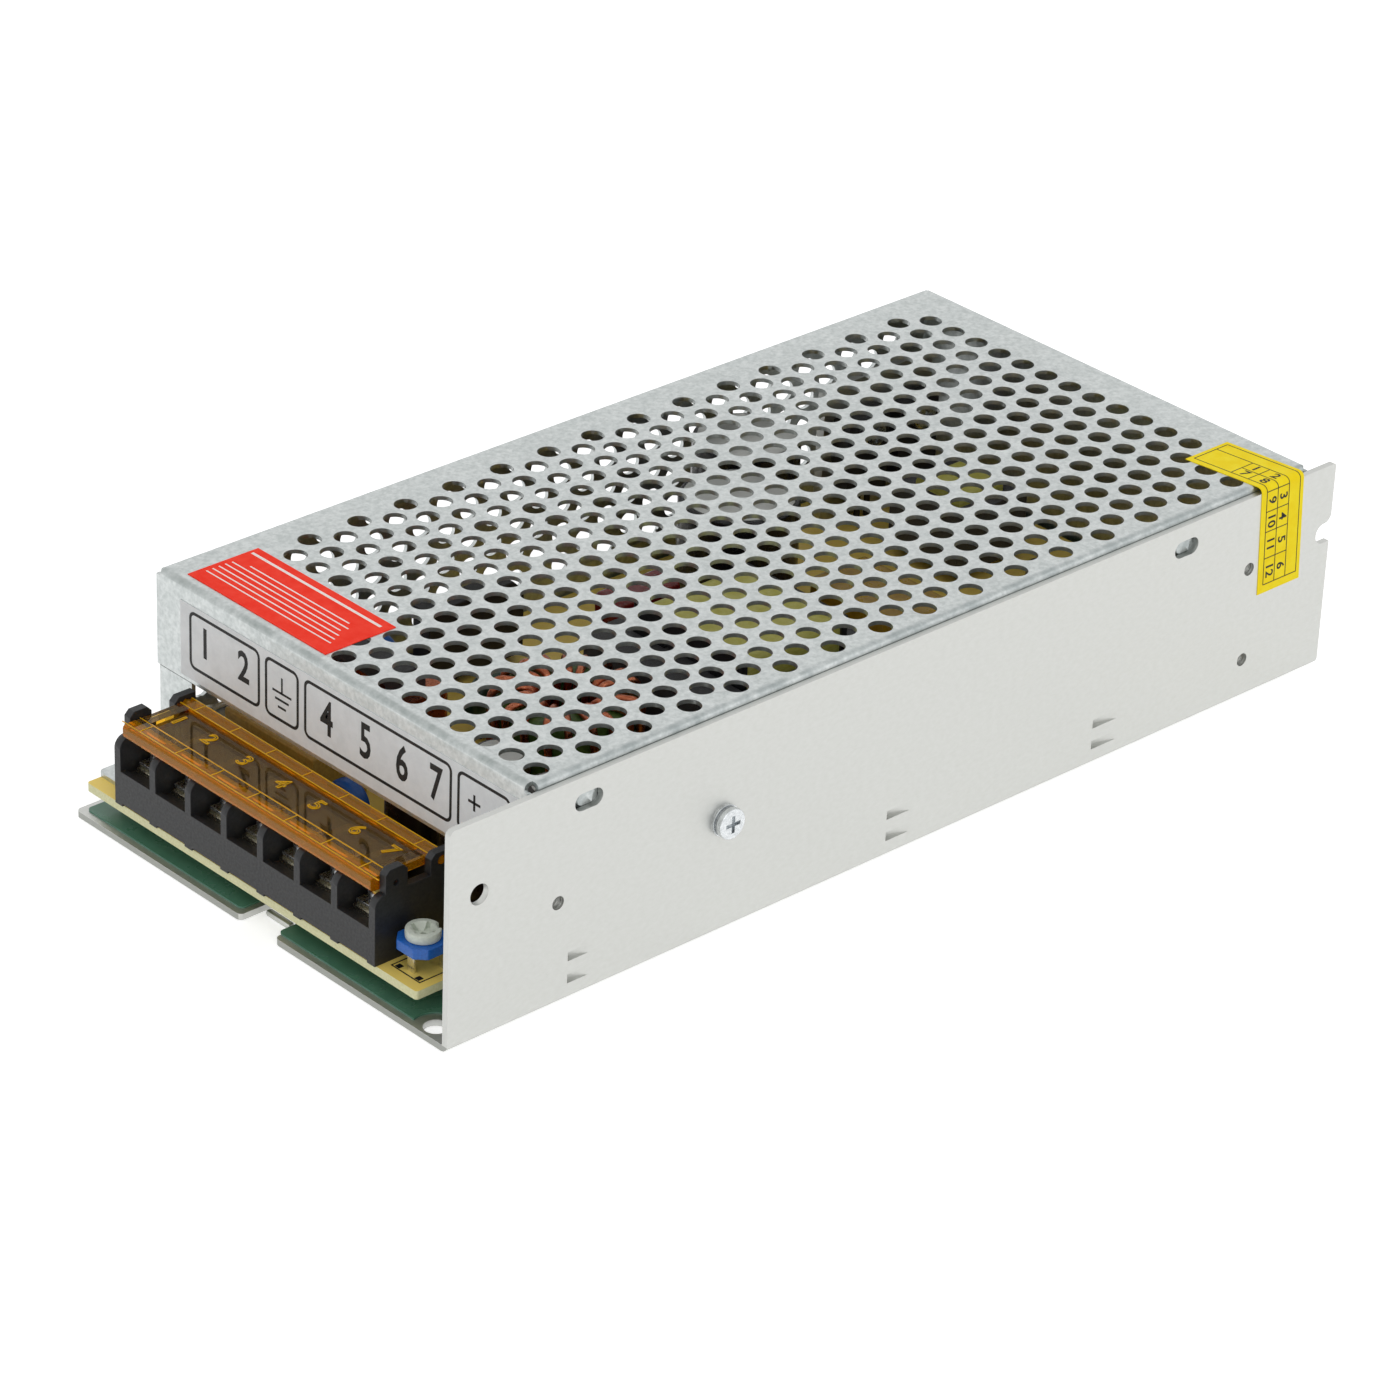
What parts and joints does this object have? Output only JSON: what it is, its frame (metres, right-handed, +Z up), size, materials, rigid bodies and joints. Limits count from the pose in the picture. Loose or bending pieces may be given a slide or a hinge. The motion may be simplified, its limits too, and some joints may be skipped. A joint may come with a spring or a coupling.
{
  "type": "led power supply",
  "caption": "Enclosed power supply for LED strips: folded base, perforated cover, screw terminals under a hinged clear lid.",
  "frame": {"origin": "middle of the base's underside: half the case length and half its width", "axes": "+X from the terminal end to the rear, +Y from the side wall to the far wall, +Z up"},
  "size_m": [0.208, 0.1, 0.0421],
  "materials": {
    "aluminium_sheet": "satin",
    "galvanised_sheet": "satin spangle",
    "film": "satin",
    "laminate": "satin",
    "black_moulding": "satin",
    "amber_clear": "clear gloss",
    "tinned_brass": "satin",
    "zinc_screw": "bright",
    "blue_plastic": "gloss",
    "white_plastic": "satin",
    "thermal_sheet": "matt",
    "black_epoxy": "matt",
    "ferrite": "matt",
    "yellow_tape": "gloss",
    "green_core": "gloss",
    "copper": "varnished",
    "bulk_sleeve": "gloss",
    "can_sleeve": "gloss",
    "red_film": "gloss",
    "mustard_film": "gloss",
    "tan_box": "satin",
    "glass_tube": "clear",
    "steel_plain": "satin",
    "red_print": "satin",
    "white_print": "satin",
    "yellow_print": "satin",
    "dark_green_epoxy": "satin"
  },
  "bodies": {
    "housing": {"chassis": "aluminium_sheet", "cover": "galvanised_sheet", "insulation_film": "film", "circuit_board": "laminate", "terminal_block": "black_moulding", "terminal_contacts": "tinned_brass", "terminal_clamps": "zinc_screw", "terminal_screws": "zinc_screw", "trimmer_body": "blue_plastic", "trimmer_pins": "tinned_brass", "earth_screw": "zinc_screw", "wall_screw": "zinc_screw", "flat_washer": "zinc_screw", "lock_washer": "steel_plain", "thermal_pad": "thermal_sheet", "clamp_bar": "steel_plain", "power_transistors": "black_epoxy", "transformer_core": "ferrite", "transformer_bobbin": "black_moulding", "transformer_winding": "yellow_tape", "output_choke_core": "green_core", "output_choke_winding": "copper", "bulk_capacitors": "bulk_sleeve", "output_capacitors": "can_sleeve", "control_capacitors": "can_sleeve", "red_film_capacitor": "red_film", "mustard_film_capacitor": "mustard_film", "x_capacitor": "tan_box", "disc_capacitors": "blue_plastic", "fuse": "glass_tube", "fuse_clips": "tinned_brass", "line_filter_core": "ferrite", "line_filter_base": "black_moulding", "line_filter_winding": "copper", "thermistor": "dark_green_epoxy", "bridge_rectifier": "black_epoxy", "heatsink": "aluminium_sheet", "switching_transistors": "black_epoxy", "heatsink_screws": "zinc_screw", "driver_core": "ferrite", "driver_winding": "yellow_tape", "controller_chip": "black_epoxy", "power_resistors": "tan_box", "board_standoffs": "steel_plain", "board_screws": "zinc_screw", "cover_screws": "zinc_screw", "front_label": "red_print", "terminal_label": "white_print", "inspection_label": "yellow_print"},
    "lid": {"terminal_lid": "amber_clear"},
    "rotor": {"trimmer_rotor": "white_plastic"}
  },
  "joints": [
    {"name": "lid_hinge", "type": "hinge", "parent": "housing", "child": "lid", "pos_m": [-0.0889, 0, 0.0216], "axis": [0, 1, 0], "range_deg": [0, 95]},
    {"name": "trimmer_turn", "type": "hinge", "parent": "housing", "child": "rotor", "pos_m": [-0.0968, -0.0344, 0.0124], "axis": [0, 0, 1], "range_deg": [-130, 130]}
  ]
}
